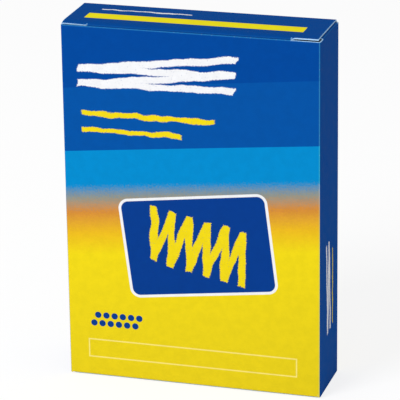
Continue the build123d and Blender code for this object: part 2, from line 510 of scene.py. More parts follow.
def new_material(name):
    """A material with a Principled shader, and its node tree and shader."""
    material = bpy.data.materials.new(name)
    material.use_nodes = True
    return material, material.node_tree, material.node_tree.nodes["Principled BSDF"]


class Surface:
    """A material painted over step by step, on places on the flat blank or in a piece's own space."""

    def __init__(self, name, ground, on_blank=True):
        self.material, self.tree, self.shader = new_material(name)
        self.ink = ground
        if on_blank:
            self.vector = add_node(self.tree, "UVMap", uv_map=BLANK_MAP)
        else:
            inputs = {0: add_node(self.tree, "TexCoord", output="Object"), "Scale": 1 / MM}
            self.vector = add_node(self.tree, "VectorMath", inputs, operation="SCALE")

    def axis(self, number):
        """One of the coordinates."""
        return add_node(self.tree, "SeparateXYZ", {0: self.vector}, number)

    def noise(self, scale, detail=2.0, roughness=0.5, offset=0.0, stretch=1.0):
        """Cloudy noise around 0.5, in features per millimetre; stretch draws it out along the third axis."""
        inputs = {0: self.vector, 1: (1.0, 1.0, 1.0 / stretch), 2: (offset, offset * NOISE_SKEW, 0.0)}
        moved = add_node(self.tree, "VectorMath", inputs, operation="MULTIPLY_ADD")
        inputs = {"Vector": moved, "Scale": scale, "Detail": detail, "Roughness": roughness}
        return add_node(self.tree, "TexNoise", inputs)

    def paint(self, tint, mask, blend="MIX"):
        """Covers the surface with a colour where the mask is 1."""
        inputs = {"Factor": mask, "A": self.ink, "B": tint}
        self.ink = add_node(self.tree, "Mix", inputs, "Result", data_type="RGBA", blend_type=blend)

    def cloud(self, tint, low, high, top=1.0, **settings):
        """Paints a colour where a new noise rises from low to high, and gives the noise."""
        field = self.noise(**settings)
        self.paint(tint, field.rise(low, high, top))
        return field

    def finish(self, roughness, specular, height, bump, depth):
        """Joins the colour and a bump to the shader, and gives the material."""
        relief = add_node(self.tree, "Bump", {"Height": height, "Strength": bump, "Distance": depth * MM})
        feed(self.shader, {"Base Color": self.ink, "Roughness": roughness, "Normal": relief,
                           "Specular IOR Level": specular})
        return self.material


class Print(Surface):
    """A printed design on the blank, with x and z from a middle."""

    def __init__(self, name, ground, u_middle=0.0, v_middle=0.0):
        super().__init__(name, ground)
        self.x = self.axis(0) - u_middle
        self.z = self.axis(1) - v_middle
        self.grain = self.noise(2.6, detail=3)
        self.drift = self.noise(0.13, detail=1)
        self.sway = self.noise(0.17, detail=1, offset=40.0)

    def wax_edge(self, distance, half_width):
        """Mask of a wax stroke: a ragged edge, broken by the paper's grain."""
        ragged = distance + (self.grain - 0.5) * WAX_RAGGED
        return ragged.below(half_width, WAX_SOFT) * self.grain.rise(*WAX_BREAKS, base=WAX_THIN)

    def scribble(self, tint, along, across, strokes, reach, pitch, width):
        """A rubbed patch: long strokes to and fro, each a pitch on from the last."""
        travel = along + (self.drift - 0.5) * pitch * HAND_DRIFT
        swing = across + (self.sway - 0.5) * reach * HAND_SWAY
        slope = 2 * reach / pitch
        held = travel.most(0.0).least(strokes * pitch)
        middle = held.wave(2 * pitch) * (abs(travel - held) * slope + reach)
        aside = abs(swing - middle) / hypot(1.0, slope)
        self.paint(tint, self.wax_edge(aside.most(abs(swing) - reach), width / 2))

    def line(self, tint, along, across, length, width):
        """A hand-drawn wax line."""
        offset = abs(across + (self.sway - 0.5) * LINE_SWAY)
        travel = along + (self.grain - 0.5) * LINE_END_RAGGED
        self.paint(tint, self.wax_edge(offset, width / 2) * travel.within(0.0, length, LINE_END_SOFT))

    def turned(self, centre, degrees):
        """Coordinates about a centre, turned by an angle."""
        cosine = cos(radians(degrees))
        sine = sin(radians(degrees))
        x = self.x - centre[0]
        z = self.z - centre[1]
        return x * cosine + z * sine, z * cosine - x * sine

    def tile(self, tint, x, z, width, height, radius):
        """A rectangle with round corners."""
        over_x = (abs(x) - (width / 2 - radius)).most(0.0)
        over_z = (abs(z) - (height / 2 - radius)).most(0.0)
        self.paint(tint, over_x.hypot(over_z).below(radius, PRINT_SOFT))

    def frame(self, tint, x, z, width, height, line):
        """The outline of a rectangle."""
        distance = (abs(x) - width / 2).most(abs(z) - height / 2)
        self.paint(tint, distance.within(-line / 2, line / 2))

    def crayon_dots(self, left, columns=ROW_COUNT, rows=2, pitch=2.8, radius=1.1):
        """A dot for each crayon, in rows, each half a pitch on from the one below."""
        z = self.z - DOTS_FOOT
        level = (z / pitch).floor()
        x = self.x - left - level * (pitch / 2)
        cell = (x / pitch).floor()
        distance = ((x.repeat(pitch) - 0.5) * pitch).hypot((z.repeat(pitch) - 0.5) * pitch)
        counted = cell.within(-0.5, columns - 0.5) * level.within(-0.5, rows - 0.5)
        self.paint(NAVY, distance.below(radius, PRINT_SOFT) * counted)

    def fade(self, height, tilt):
        """A blue to yellow fade along a tilted boundary, with two hard bands in the blue; its yellow darkens
        towards the foot as a painted shade.
        """
        spray = self.noise(1.6, detail=4, roughness=0.8)
        height_above = self.z - height - self.x * tilt
        low = FADE[0][0]
        span = FADE[-1][0] - low
        share = (height_above + (spray - 0.5) * FADE_SPRAY - low) / span
        self.ink = add_node(self.tree, "ValToRGB", {0: share})
        elements = self.ink.socket.node.color_ramp.elements
        while len(elements) < len(FADE):
            elements.new(1.0)
        for element, (place, tint) in zip(elements, FADE):
            element.position = (place - low) / span
            element.color = tint
        for band, tint in HARD_BANDS:
            self.paint(tint, height_above.above(band, BAND_SOFT))

    def bleed(self, along, end):
        """Leaves the board bare where a flap's ink ends."""
        self.paint(COATED_WHITE, along.above(end, BAND_SOFT))

    def printed(self):
        """Finishes coated board: mottled ink, paper grain, thin cracked ink where worn, and lighter ink as a
        painted highlight along the walls' upright creases.
        """
        mottle = self.noise(0.3, detail=4, roughness=0.65, offset=9.0)
        fibre = self.noise(5.0, detail=3, offset=3.0)
        cracks = self.noise(1.4, detail=4, roughness=0.7, offset=21.0)
        rubbed = add_node(self.tree, "Attribute", output="Fac", attribute_name=WEAR_AND_HIGHLIGHT)
        wear_and_highlight = rubbed * cracks.rise(0.55, 0.78, top=0.4)
        self.paint(mottle.rise(0.3, 0.7, base=0.94), 1.0, "MULTIPLY")
        # Lighter ink where the wear attribute is high: real wear, and a painted highlight on the walls'
        # upright creases.
        thin_ink_and_highlight = add_node(self.tree, "Gamma", {"Color": self.ink, "Gamma": 0.5})
        self.paint(thin_ink_and_highlight, rubbed)
        self.paint(COATED_WHITE, wear_and_highlight)
        roughness = mottle.rise(0.3, 0.7, top=0.72, base=0.6) + wear_and_highlight * 0.2
        return self.finish(roughness, specular=0.015, height=fibre + mottle * 0.6, bump=0.10, depth=0.05)


# Materials
def front_print():
    """Front: a fade, a rubbed patch, two lines, a tile with a wax mark, a dot per crayon, a label frame."""
    design = Print("front_print", DEEP_BLUE)
    design.fade(height=66.0, tilt=0.1)
    x, z = design.turned((-11.0, 104.5), 4.0)
    design.scribble(PRINT_WHITE, z + 5.0, x, strokes=4, reach=25.0, pitch=2.5, width=2.2)
    for height, length in ((90.5, 44.0), (85.0, 33.0)):
        design.line(YELLOW, design.x + 36.0, design.z - height, length, width=1.7)
    tile_middle = (2.0, 48.5)
    x, z = design.turned(tile_middle, 7.0)
    design.tile(PRINT_WHITE, x, z, width=49.8, height=33.8, radius=3.4)
    design.tile(NAVY, x, z, width=48.0, height=32.0, radius=2.5)
    x, z = design.turned(tile_middle, -12.0)
    design.scribble(YELLOW, x + 16.5, z, strokes=11, reach=8.0, pitch=3.0, width=2.5)
    design.crayon_dots(left=-35.0)
    design.frame(PALE_LINE, design.x + 0.5, design.z - 9.9, width=70.0, height=6.1, line=0.45)
    return design.printed()


def side_print(side, u_middle):
    """Side: plain blue with an upright rubbed patch and a thin line."""
    design = Print(f"{side}_side_print", SIDE_BLUE, u_middle)
    design.scribble(PRINT_WHITE, design.x + 3.4, design.z - 34.0, strokes=3, reach=15.0, pitch=1.7, width=1.3)
    design.line(YELLOW, design.z - 20.0, design.x - 4.6, length=26.0, width=0.8)
    return design.printed()


def back_print():
    """Back: the fade tilted the other way, a rubbed patch, three lines in a frame, dots, a label frame."""
    design = Print("back_print", DEEP_BLUE, u_back)
    design.fade(height=50.0, tilt=-0.1)
    design.scribble(PRINT_WHITE, design.z - 101.0, design.x, strokes=3, reach=26.0, pitch=2.5, width=2.1)
    design.frame(PRINT_WHITE, design.x, design.z - 79.0, width=66.0, height=24.0, line=0.5)
    for height, length in ((84.5, 52.0), (79.0, 43.0), (73.5, 34.0)):
        design.line(PRINT_WHITE, design.x + 29.0, design.z - height, length, width=0.6)
    design.crayon_dots(left=-8.0)
    design.frame(PALE_LINE, design.x, design.z - 9.5, width=71.0, height=6.2, line=0.5)
    return design.printed()


def lid_print():
    """Lid and tuck flap: blue with a stripe and a thin line, bare past the tuck flap's bleed."""
    design = Print("lid_print", LID_BLUE, u_back, lid_flap.v_start + lid_crease_end)
    design.paint(STRIPE_YELLOW, (design.x - 0.8).within(-35.8, 35.8) * design.z.within(10.5, 16.0))
    design.line(PRINT_WHITE, design.x - 4.0, design.z - 5.5, length=30.0, width=0.9)
    design.bleed(design.z, lid_run + roll_length + TUCK_BLEED)
    return design.printed()


def bled_print(name, ground, reach, *flaps):
    """Inner flaps: their panel's colour ends a little way past the crease."""
    design = Print(name, ground)
    for flap in flaps:
        design.bleed((design.z - flap.v_start) * flap.v_sign, reach)
    return design.printed()


def bottom_print():
    """Bottom: plain blue with a pale frame."""
    design = Print("bottom_print", LID_BLUE, u_back, bottom_flaps["outer"].v_start)
    design.frame(PRINT_WHITE, design.x, design.z + 12.5, width=60.0, height=12.0, line=0.4)
    return design.printed()


def bare_board():
    """Uncoated inside of the board: grey-white, flecked and felted."""
    surface = Surface("bare_board", BARE_BOARD)
    surface.cloud(BARE_CLOUD, 0.35, 0.75, top=0.7, scale=0.25, detail=4, roughness=0.6)
    felt = surface.cloud(BARE_FELT, 0.48, 0.7, top=0.6, scale=2.2, detail=5, roughness=0.75, offset=5.0)
    surface.cloud(BARE_FLECK, 0.66, 0.72, top=0.5, scale=1.1, roughness=0.4, offset=17.0)
    roughness = felt.rise(0.3, 0.7, top=0.95, base=0.8)
    return surface.finish(roughness, specular=0.15, height=felt, bump=0.35, depth=0.08)


def cut_edge():
    """Cut edge of the board: pale fibres with darker streaks."""
    surface = Surface("cut_edge", CUT_EDGE)
    streak = surface.cloud(CUT_STREAK, 0.5, 0.75, top=0.4, scale=4.0, detail=3, roughness=0.7)
    surface.cloud(CUT_BLOTCH, 0.5, 0.8, top=0.35, scale=0.5, detail=3, offset=8.0)
    roughness = streak.rise(0.3, 0.7, top=0.95, base=0.82)
    return surface.finish(roughness, specular=0.15, height=streak, bump=0.5, depth=0.08)


def yellow_wax():
    """Yellow wax: cloudy colour, pale bloom, fine pits, rub marks along the stick."""
    surface = Surface("yellow_wax", WAX_DEEP, on_blank=False)
    surface.cloud(WAX_LIGHT, 0.3, 0.7, scale=0.3, detail=3)
    bloom = surface.cloud(WAX_BLOOM, 0.55, 0.8, top=0.5, scale=0.9, detail=5, roughness=0.7)
    pits = surface.cloud(WAX_PIT, 0.66, 0.74, top=0.5, scale=5.0)
    rubs = surface.noise(1.8, detail=3, stretch=9.0)
    roughness = bloom.rise(0.35, 0.75, top=0.62, base=0.36)
    relief = rubs * 0.6 + bloom * 0.5 - pits.rise(0.62, 0.74)
    feed(surface.shader, {"Subsurface Weight": 0.15, "Subsurface Radius": (1.0, 0.6, 0.15),
                          "Subsurface Scale": 1.2 * MM})
    return surface.finish(roughness, specular=0.4, height=relief, bump=0.35, depth=0.12)


def sleeve_paper():
    """Blue sleeve paper: three yellow bands, rubbed ends, fibre grain."""
    surface = Surface("sleeve_paper", SLEEVE_DEEP, on_blank=False)
    cloud = surface.cloud(SLEEVE_LIGHT, 0.3, 0.7, scale=0.4, detail=4, roughness=0.6)
    fibre = surface.noise(4.0, detail=4, roughness=0.7, stretch=3.0)
    z = surface.axis(2)
    half_band = 0.45
    rubbed = 0.25
    for height in (sleeve_top - 5.0, sleeve_top - 7.2, sleeve_bottom + 6.0):
        surface.paint(YELLOW, z.within(height - half_band, height + half_band))
    ends = z.above(sleeve_top - rubbed, rubbed).most(z.below(sleeve_bottom + rubbed, rubbed))
    surface.paint(COATED_WHITE, ends * cloud.rise(0.4, 0.6, top=0.8, base=0.2))
    roughness = cloud.rise(0.3, 0.7, top=0.72, base=0.55)
    return surface.finish(roughness, specular=0.25, height=fibre, bump=0.25, depth=0.06)


flap_print = bled_print("dust_flap_print", SIDE_BLUE, DUST_BLEED, dust_flaps["right"], bottom_flaps["right"])
inside = bare_board()
edge = cut_edge()


# Meshes
def add_object(name, data):
    """A new object in the scene."""
    made = bpy.data.objects.new(name, data)
    bpy.context.scene.collection.objects.link(made)
    return made


def new_mesh(name, vertices, faces, materials, sharp_angle):
    """A smooth mesh in metres, sharp where its faces turn by more than an angle."""
    mesh = bpy.data.meshes.new(name)
    mesh.from_pydata([vertex * MM for vertex in vertices], [], faces)
    for material in materials:
        mesh.materials.append(material)
    mesh.shade_smooth()
    mesh.set_sharp_from_angle(angle=radians(sharp_angle))
    return mesh


def crease_wear_and_highlight(share, line=0.5):
    """Wear at a share of the way round a crease: a narrow band along a line. On the walls' upright creases
    the band is also a painted highlight.
    """
    return max(0.0, 1 - ((share - line) / CREASE_BAND) ** 2)


def strip_faces(rows, slot=0):
    """Quads between rows of places on the blank, where rows go up in v and columns in u."""
    faces = []
    for low, high in zip(rows, rows[1:]):
        for quad in zip(low, low[1:], high[1:], high):
            faces.append((quad, slot))
    return faces


def merge_key(spot):
    """What two corners at one place on the blank share."""
    return tuple(round(value, MERGE_DIGITS) for value in spot)


def make_board(name, faces, place, materials, wear_and_highlight_at, joined, inked=lambda u: None):
    """Folds faces of the flat blank into a closed board with a printed face, a bare face and cut edges.

    faces is a list of (corners, slot). place gives a point of the printed face and its outward normal.
    The last two materials are those of the bare face and of the cut edges. wear_and_highlight_at gives the
    wear of a crease, which on the walls' upright creases is also a painted highlight, and joined says where
    an edge isn't cut but carries on into the next piece of board. inked gives the slot of a cut edge that
    took ink, or None."""
    merged = {}
    for corners, slot in faces:
        for spot in corners:
            merged.setdefault(merge_key(spot), spot)
    flat = list(merged.values())
    index = {key: number for number, key in enumerate(merged)}
    rings = [[index[merge_key(spot)] for spot in corners] for corners, slot in faces]
    points, normals = zip(*(place(u, v) for u, v in flat))
    edges = dict.fromkeys(pair for ring in rings for pair in zip(ring, ring[1:] + ring[:1]))
    rim = [(a, b) for a, b in edges if (b, a) not in edges]
    outward = {}
    for a, b in rim:
        aside = (points[b] - points[a]).cross(normals[a] + normals[b]).normalized()
        for end in (a, b):
            outward[end] = outward.get(end, Vector()) + aside

    vertices = []
    blank = []
    wear_and_highlight = []

    def layer_at(depth, draw_in, kept):
        """Adds some vertices at a depth below the printed face and gives their new numbers."""
        numbers = {}
        for old in kept:
            numbers[old] = len(vertices)
            cut = old in outward and not joined(*flat[old])
            aside = outward[old].normalized() * draw_in if cut else Vector()
            vertices.append(points[old] - normals[old] * depth - aside)
            blank.append(flat[old])
            wear_and_highlight.append(max(EDGE_WEAR if cut else 0.0, wear_and_highlight_at(*flat[old])))
        return numbers

    everything = range(len(flat))
    printed = layer_at(0.0, EDGE_BEVEL, everything)
    upper = layer_at(EDGE_BEVEL, 0.0, outward)
    lower = layer_at(board - EDGE_BEVEL, 0.0, outward)
    bare = layer_at(board, EDGE_BEVEL, everything)
    bare_slot = len(materials) - 2
    cut_slot = len(materials) - 1
    made = []
    slots = []
    for ring, (corners, slot) in zip(rings, faces):
        made += [[printed[vertex] for vertex in ring], [bare[vertex] for vertex in reversed(ring)]]
        slots += [slot, bare_slot]
    for a, b in rim:
        ink_slot = inked((flat[a][0] + flat[b][0]) / 2)
        for above, below in ((printed, upper), (upper, lower), (lower, bare)):
            made.append([below[a], below[b], above[b], above[a]])
            slots.append(cut_slot if ink_slot is None else ink_slot)

    mesh = new_mesh(name, vertices, made, materials, BOARD_SHARP_ANGLE)
    mesh.polygons.foreach_set("material_index", slots)
    layer = mesh.uv_layers.new(name=BLANK_MAP)
    for loop in mesh.loops:
        layer.uv[loop.index].vector = blank[loop.vertex_index]
    mesh.attributes.new(WEAR_AND_HIGHLIGHT, "FLOAT", "POINT").data.foreach_set("value", wear_and_highlight)
    mesh.validate()
    return add_object(name, mesh)


# Walls: stretches of their plan, with where each ends, and its lowest and highest point
top_cut_first = left_middle - dust_low.y
top_cut_last = right_middle + dust_low.y
dust_crease_z = dust_flaps["left"].v_start
foot_z = inner_low.z
wall_spans = [
    (left_middle - dust_high.y, foot_z, dust_axis.z),
    (top_cut_first, foot_z, dust_crease_z),
    (FRONT.first, foot_z, front_high.z),
    (FRONT.end, bottom_flaps["inner"].v_start, front_high.z),
    (top_cut_last, foot_z, front_high.z),
    (right_middle + dust_high.y, foot_z, dust_crease_z),
    (BACK.first, foot_z, dust_axis.z),
    (BACK.end, bottom_flaps["outer"].v_start, lid_flap.v_start),
    (wall_fold.length, glue_low.z, glue_high.z),
]


def wall_limits(distance):
    """Lowest and highest point of the wall along its plan; the glue flap's ends slant."""
    low, high = next((low, high) for end, low, high in wall_spans if distance <= end + TOLERANCE)
    slant = tan(radians(GLUE_FLAP_TAPER)) * max(0.0, distance - GLUE.first)
    return low + slant, high - slant


def wall_place(u, v):
    """Point and normal of the printed wall, whose panels bow in between their creases."""
    distance = u + front_middle
    point, normal = wall_fold.at(distance)
    bow = 0.0
    for panel in wall_panels:
        if panel.first < distance < panel.end:
            across = sin(pi * (distance - panel.first) / panel.length)
            low, high = wall_limits(distance)
            upright = 1 - abs(2 * (v - low) / (high - low) - 1) ** BOW_POWER
            bow = BOW * across * upright * panel.length / (2 * side_x)
    return Vector((*(point - normal * bow), v)), Vector((*normal, 0.0))


def wall_wear_and_highlight(u, v):
    """Wear and a painted highlight on the upright creases, least on the one at the left of the front."""
    distance = u + front_middle
    for crease in wall_creases:
        if crease.first - TOLERANCE <= distance <= crease.end + TOLERANCE:
            most = LEFT_CREASE_WEAR_AND_HIGHLIGHT if crease.first < FRONT.first else 1.0
            return most * crease_wear_and_highlight((distance - crease.first) / crease.length, CREASE_LINE)
    return 0.0


def wall_slot(distance):
    """Material slot of the wall along its plan, changing in the middle of each crease."""
    half_crease = CREASE_RADIUS * pi / 4
    return sum(distance > panel.first - half_crease for panel in wall_panels[1:])


def wall_joined(u, v):
    """Whether the wall carries on into a flap; the front's top and the glue flap are cut."""
    distance = u + front_middle
    if distance > GLUE.first:
        return False
    low, high = wall_limits(distance)
    return v < (low + high) / 2 or not top_cut_first < distance < top_cut_last


def wall_inked(u):
    """The front's slot where its top edge took ink, left of the right slit."""
    return wall_slot(front_middle) if -side_x < u < slit_right else None


def make_wall():
    """The four walls and the glue flap, as one strip of board."""
    steps = [end for end, low, high in wall_spans[:-1]]
    stations = [front_middle + slit_left, front_middle + slit_right]
    stations += [step + beside for step in steps for beside in (-STEP_GAP / 2, STEP_GAP / 2)]
    for station in wall_fold.stations():
        if min(abs(station - step) for step in steps) > STEP_GAP:
            stations.append(station)
    stations.sort()
    columns = []
    for distance in stations:
        levels = banded_steps(*wall_limits(distance), WALL_ROWS)
        columns.append([(distance - front_middle, level) for level in levels])
    faces = []
    for left, right, first, last in zip(columns, columns[1:], stations, stations[1:]):
        faces += strip_faces(list(zip(left, right)), wall_slot((first + last) / 2))
    materials = [side_print("left", u_left), front_print(), side_print("right", u_right), back_print(),
                 flap_print, inside, edge]
    return make_board("carton_wall", faces, wall_place, materials, wall_wear_and_highlight, wall_joined, wall_inked)


def make_flap(name, flap, beyond, edges, width, material, wear_and_highlight=FLAP_CREASE_WEAR, cut=True):
    """A crease and what is beyond it, between two edges; if it is cut, only its panel's side carries on."""
    stations = [0.0, *even_steps(CREASE_MARGIN, crease_end, ARC_STEPS), *beyond]

    def wear_and_highlight_at(u, v):
        return wear_and_highlight * crease_wear_and_highlight((abs(v - flap.v_start) - CREASE_MARGIN) / crease_turn)

    def joined(u, v):
        return not cut or abs(v - flap.v_start) < TOLERANCE

    faces = strip_faces(flap.rows(stations, edges, width))
    return make_board(name, faces, flap.place, [material, inside, edge], wear_and_highlight_at, joined)


def make_lid_crease():
    """The crease between the back panel and the lid, which widens towards the lid."""

    def edges(distance):
        share = smooth_step(distance / lid_crease_end)
        return root_left + (lid_left - root_left) * share, root_right + (lid_right - root_right) * share

    material = Print("lid_crease_print", LID_BLUE).printed()
    width = root_right - root_left
    return make_flap("lid_crease", lid_flap, [lid_crease_end], edges, width, material, wear_and_highlight=1.0, cut=False)


def make_dust_flap(name, flap):
    """A dust flap, narrower towards its rounded free edge."""
    length = flap.fold.length
    width = dust_high.y - dust_low.y
    flat = length - crease_end + FLAP_CREASE_RADIUS
    centre = flat - DUST_CORNER_RADIUS
    front_slope = radians(DUST_FRONT_TAPER)
    back_slope = atan((width - flat * tan(front_slope) - DUST_FREE_EDGE) / flat)

    def inset(run, slope):
        if run <= centre + DUST_CORNER_RADIUS * sin(slope):
            return run * tan(slope)
        rise = sqrt(max(0.0, DUST_CORNER_RADIUS ** 2 - (run - centre) ** 2))
        return centre * tan(slope) + DUST_CORNER_RADIUS / cos(slope) - rise

    def edges(distance):
        run = max(0.0, distance - crease_end + FLAP_CREASE_RADIUS)
        return dust_low.y + inset(run, front_slope), dust_high.y - inset(run, back_slope)

    beyond = even_steps(crease_end, length - DUST_CORNER_RADIUS, DUST_ROWS)[1:-1]
    beyond += round_steps(length, DUST_CORNER_RADIUS)
    return make_flap(name, flap, beyond, edges, width, flap_print)


def make_bottom_flap(name, flap, left, material):
    """A bottom flap, as wide as the flat part of its panel."""
    beyond = [crease_end + station for station in run_stations(flap.fold.length - crease_end)[1:]]
    return make_flap(name, flap, beyond, lambda distance: (left, root_right), root_right - left, material)


def past_slit(across):
    """How far outside the nearer slit a place across the lid is."""
    return max(slit_left - across, across - slit_right)


def roll_share(across):
    """Share of the lid's roll at a place across it: all between the slits, and less on each tab."""
    least, bend = (RIGHT_TAB_ROLL, RIGHT_TAB_BEND) if across > 0 else (LEFT_TAB_ROLL, LEFT_TAB_BEND)
    return 1 - (1 - least) * smooth_step(past_slit(across) / bend)


def make_lid():
    """The lid with its tuck flap: tabs at the front corners, a soft roll, a crease between the slits."""
    roll_begin = lid_crease_end + lid_run
    crease = roll_begin + roll_length
    turn_length = radians(tuck_turn) * tuck_outer_radius
    shoulder = crease + turn_length + TUCK_NECK
    free_edge = lid_flap.fold.length
    first_round = free_edge - TUCK_CORNER_RADIUS
    tab_end = roll_begin + roll_start_y - lid_low.y
    neck_left = slit_left + TUCK_SLIT_GAP
    neck_right = slit_right - TUCK_SLIT_GAP
    neck_inner = even_steps(neck_left, neck_right, LID_COLUMNS)[1:-1]
    neck = [neck_left, neck_left + EDGE_BAND, *neck_inner, neck_right - EDGE_BAND, neck_right]
    left_tab = [lid_left, lid_left + EDGE_BAND] + [slit_left - beside for beside in TAB_COLUMNS]
    right_tab = [slit_right + beside for beside in reversed(TAB_COLUMNS)] + [lid_right - EDGE_BAND, lid_right]

    def row(distance, *parts):
        return [lid_flap.blank(x, distance) for x in reversed(sum(parts, []))]

    def tuck_row(distance):
        past = max(0.0, distance - first_round)
        inset = TUCK_CORNER_RADIUS - sqrt(max(0.0, TUCK_CORNER_RADIUS ** 2 - past ** 2))
        reach = tuck_high.x - inset
        left_wing = [-reach, -reach + EDGE_BAND, (neck_left - reach) / 2]
        right_wing = [(neck_right + reach) / 2, reach - EDGE_BAND, reach]
        return row(distance, left_wing, neck, right_wing)

    lid_rows = even_steps(lid_crease_end, roll_begin, LID_ROWS)
    lid_rows += even_steps(roll_begin, crease, ARC_STEPS)[1:]
    neck_rows = [*even_steps(crease, crease + turn_length, ARC_STEPS), shoulder]
    tuck_rows = [shoulder, *even_steps(shoulder + EDGE_BAND, first_round, TUCK_ROWS)[:-1]]
    tuck_rows += round_steps(free_edge, TUCK_CORNER_RADIUS)
    faces = strip_faces([row(distance, left_tab, neck, right_tab) for distance in lid_rows])
    for tab in (left_tab, right_tab):
        faces += strip_faces([row(distance, tab) for distance in (crease, tab_end - EDGE_BAND, tab_end)])
    faces += strip_faces([row(distance, neck) for distance in neck_rows])
    faces += strip_faces([tuck_row(distance) for distance in tuck_rows])

    def place(u, v):
        across = u_back - u
        past = v - lid_flap.v_start - roll_begin
        rolled = past < roll_length + TOLERANCE
        on_tab = past_slit(across) > -TUCK_SLIT_GAP / 2 and past < tab_end - roll_begin + TOLERANCE
        if past <= 0 or not (rolled or on_tab):
            return lid_flap.place(u, v)
        bend = roll_share(across) / LID_ROLL_RADIUS
        turn = bend * past
        fall = (1 - cos(turn)) / bend
        point = Vector((across, roll_start_y - sin(turn) / bend, lid_high.z - fall))
        return point, Vector((0.0, -sin(turn), cos(turn)))

    def wear_and_highlight_at(u, v):
        turned = (v - lid_flap.v_start - crease) / turn_length
        on_neck = past_slit(u_back - u) < -TUCK_SLIT_GAP / 2
        return TUCK_CREASE_WEAR * crease_wear_and_highlight(turned) if on_neck else 0.0

    def joined(u, v):
        return v < lid_flap.v_start + lid_crease_end + TOLERANCE

    return make_board("lid_board", faces, place, [lid_print(), inside, edge], wear_and_highlight_at, joined)


def lathe(name, profile, material, swell):
    """Turns a profile of (radius, height) round Z; swell moves a point out from the axis."""
    vertices = []
    rings = []
    for radius, height in profile:
        steps = ROUND_STEPS if radius else 1
        first = len(vertices)
        rings.append([first + step % steps for step in range(ROUND_STEPS)])
        for step in range(steps):
            angle = 2 * pi * step / ROUND_STEPS
            out = radius + swell(angle, radius) if radius else 0.0
            vertices.append(Vector((out * cos(angle), out * sin(angle), height)))
    if profile[0][0]:
        rings.append(rings[0])
    faces = []
    for low, high in zip(rings, rings[1:]):
        for step in range(ROUND_STEPS):
            after = (step + 1) % ROUND_STEPS
            faces.append(list(dict.fromkeys((low[step], low[after], high[after], high[step]))))
    return new_mesh(name, vertices, faces, [material], CRAYON_SHARP_ANGLE)


def wax_mesh():
    """A wax stick: bevelled foot, straight body, cone with a soft shoulder and a blunt tip."""
    radius = (wax_high.x - wax_low.x) / 2
    length = wax_high.z - wax_low.z
    shoulder = length - CONE_LENGTH
    centre = length - TIP_RADIUS
    to_centre = hypot(radius, centre - shoulder)
    slope = atan2(radius, centre - shoulder) - asin(TIP_RADIUS / to_centre)
    cone_foot = Vector((radius, shoulder))
    cone_end = Vector((TIP_RADIUS * cos(slope), centre + TIP_RADIUS * sin(slope)))
    cone = cone_end - cone_foot
    foot = radius - END_BEVEL
    profile = [(0.0, 0.0), (foot - FOOT_BAND, 0.0), (foot, 0.0)]
    for angle in even_steps(0.0, pi / 2, BEVEL_STEPS)[1:]:
        profile.append((foot + END_BEVEL * sin(angle), END_BEVEL * (1 - cos(angle))))
    body = even_steps(END_BEVEL, shoulder - SHOULDER_BAND, BODY_STEPS)
    profile += [(radius, height) for height in body[1:]]
    for share in even_steps(0.0, 1.0, SHOULDER_STEPS)[1:-1]:
        lower = cone_foot - Vector((0.0, SHOULDER_SOFT * (1 - share)))
        upper = cone_foot + cone.normalized() * SHOULDER_SOFT * share
        profile.append(tuple(lower.lerp(upper, share)))
    for share in even_steps(SHOULDER_SOFT / cone.length, 1.0, CONE_STEPS)[1:]:
        profile.append(tuple(cone_foot + cone * share))
    for angle in even_steps(slope, pi / 2, ARC_STEPS)[1:-1]:
        profile.append((TIP_RADIUS * cos(angle), centre + TIP_RADIUS * sin(angle)))
    profile.append((0.0, length))

    def swell(angle, ring_radius):
        """Two faint mould lines, and a body that is not perfectly round."""
        line = max(0.0, abs(cos(angle)) - 1 + MOULD_LINE_SPREAD) / MOULD_LINE_SPREAD
        drawn_in = MOULD_LINE * (1 - line) * min(1.0, ring_radius / radius)
        return -drawn_in - OUT_OF_ROUND * (1 + sin(3 * angle))

    return lathe("wax_stick", profile, yellow_wax(), swell)


def sleeve_mesh():
    """A paper sleeve wound round the stick, with a lapped and pasted seam."""
    outer = (sleeve_high.x - sleeve_low.x) / 2
    inner = (wax_high.x - wax_low.x) / 2 + PAPER_GAP
    rim = outer - PAPER_RIM
    levels = even_steps(sleeve_bottom + PAPER_RIM, sleeve_top - PAPER_RIM, SLEEVE_STEPS)
    profile = [(inner, sleeve_bottom), (rim, sleeve_bottom)]
    profile += [(outer, level) for level in levels]
    profile += [(rim, sleeve_top), (inner, sleeve_top)]

    def swell(angle, radius):
        """The outer layer of paper stands out where it laps over the seam."""
        if radius < rim - PAPER_RIM or angle < LAP_WIDTH / outer:
            return 0.0
        return -LAP_STEP * (1 - LAP_TAIL * exp((angle - 2 * pi) / LAP_TAIL_ANGLE))

    return lathe("paper_sleeve", profile, sleeve_paper(), swell)


# Pieces on their bodies
def add_piece(piece, body, slot, *nodes):
    """Carries a rigid piece on a body, in place of its nodes."""
    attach(piece, body)
    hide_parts(*nodes)


def add_bent(piece, first, second, start, end, *nodes):
    """Bakes a board piece's placement into its mesh, in place of any nodes. The two bodies and the start and
    end are not used.
    """
    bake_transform(piece)
    if nodes:
        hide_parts(*nodes)


